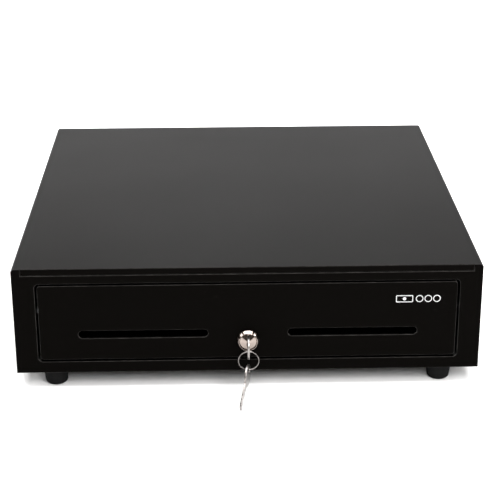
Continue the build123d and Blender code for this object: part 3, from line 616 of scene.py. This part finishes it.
def build_housing(height):
    """The cam lock's turned housing, with a domed bezel round a shallow recess."""
    low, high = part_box("lock_housing")
    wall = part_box("drawer_front")[0].y
    shoulder, pull, rim = (Vector(point) for point in (BEZEL_SHOULDER, BEZEL_PULL, BEZEL_RIM))
    steps = [i / 12 for i in range(13)]
    outer = [tuple((1 - t) ** 2 * shoulder + 2 * t * (1 - t) * pull + t * t * rim) for t in steps]
    turns = [math.radians(20 + 14 * i) for i in range(1, 6)]
    lip_r, lip_depth = LIP_MIDDLE
    lip = [(lip_r - LIP_R * math.sin(a), lip_depth - LIP_R * math.cos(a)) for a in turns]
    dish = [(DISH_R, DISH_DEPTH), (PLUG_HOLE_R, DISH_DEPTH)]
    bezel = [(r * MM, low.y + out * MM) for r, out in outer + lip + dish]
    barrel = [
        (PLUG_HOLE_R * MM, high.y),
        (BARREL_R * MM, high.y),
        (BARREL_R * MM, wall),
        (BEZEL_R * MM, wall),
    ]
    finish_chrome(lathe("lock_housing_turned", bezel + barrel, height), 40, "drawer", "lock_housing")


def keyway_cutter(height):
    """A box the size of the keyway, to cut the plug with."""
    slot = bpy.data.objects.new("keyway", bpy.data.meshes.new("keyway"))
    bpy.context.scene.collection.objects.link(slot)
    work = bmesh.new()
    bmesh.ops.create_cube(work, size=1)
    for vert in work.verts:
        x, y, z = (share * extent for share, extent in zip(vert.co, KEYWAY))
        vert.co = Vector((x, y + KEYWAY_MIDDLE_Y, z)) * MM
        vert.co.z += height
    work.to_mesh(slot.data)
    work.free()
    return slot


def build_plug(height):
    """The lock plug: a crowned head over the bezel's recess, a cam flange behind, and the keyway."""
    low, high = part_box("lock_plug")
    head, rim = HEAD_R * MM, PLUG_R * MM
    edge = low.y - HEAD_EDGE * MM
    under_head = low.y - HEAD_GAP * MM
    crown = HEAD_CROWN * MM
    shares = [i / 20 for i in range(21)]
    dome = [(head * i / 20, edge - crown * (1 - shares[i] ** CROWN_POWER)) for i in range(21)]
    dome += [(head, under_head), (rim, under_head)]
    cam_front, cam_rear = (y * MM for y in PLUG_CAM)
    body = [
        (rim, cam_front),
        (PLUG_CAM_R * MM, cam_front),
        (PLUG_CAM_R * MM, cam_rear),
        (rim, cam_rear),
        (rim, high.y),
        (0, high.y),
    ]
    plug = lathe("lock_plug_crowned", dome + body, height)
    slot = keyway_cutter(height)
    cutter = plug.modifiers.new("keyway", "BOOLEAN")
    cutter.object = slot
    cutter.solver = "EXACT"
    depsgraph = bpy.context.evaluated_depsgraph_get()
    carved = bpy.data.meshes.new_from_object(plug.evaluated_get(depsgraph))
    plug.modifiers.clear()
    plug.data = carved
    bpy.data.objects.remove(slot)
    finish_chrome(plug, 35, "lock_core", "lock_plug")


lock_low, lock_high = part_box("lock_housing")
lock_height = (lock_low.z + lock_high.z) / 2
build_housing(lock_height)
build_plug(lock_height)


# ---- Printed pictogram --------------------------------------------------------------------
INK_STROKE = 0.7 * MM
MARK_HEIGHT = 6.6 * MM
MARK_AT = (148.0 * MM, 82.5 * MM)
NOTE_WIDTH = 15.0 * MM
NOTE_AT = (-11 * MM, 0)
FIRST_COIN = 2.2
COIN_PITCH = 7.6


def build_pictogram():
    """A banknote and three coins printed in silver ink at the drawer front's upper right."""
    ink = surface("silver_ink", (0.55, 0.55, 0.56), (0.4, 0.5), mottle=0.05, grain=2500.0)
    inner_width = NOTE_WIDTH - 2 * INK_STROKE
    inner_height = MARK_HEIGHT - 2 * INK_STROKE
    outlines = [
        rounded_rectangle(NOTE_WIDTH, MARK_HEIGHT, 1.0 * MM, NOTE_AT),
        rounded_rectangle(inner_width, inner_height, 0.5 * MM, NOTE_AT)[::-1],
        circle_points(1.5 * MM, NOTE_AT),
    ]
    for step in range(3):
        at = ((FIRST_COIN + step * COIN_PITCH) * MM, 0)
        outlines.append(circle_points(MARK_HEIGHT / 2, at))
        outlines.append(circle_points(MARK_HEIGHT / 2 - INK_STROKE, at)[::-1])
    curve = flat_curve(outlines, 0.06 * MM, 0.01 * MM)
    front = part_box("drawer_front")[0].y
    x, z = MARK_AT
    place = Matrix.Translation((x, front - 0.03 * MM, z)) @ Matrix.Rotation(math.pi / 2, 4, "X")
    mark = from_curve("pictogram", curve, place)
    dress(mark, ink)
    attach(mark, "drawer")


build_pictogram()
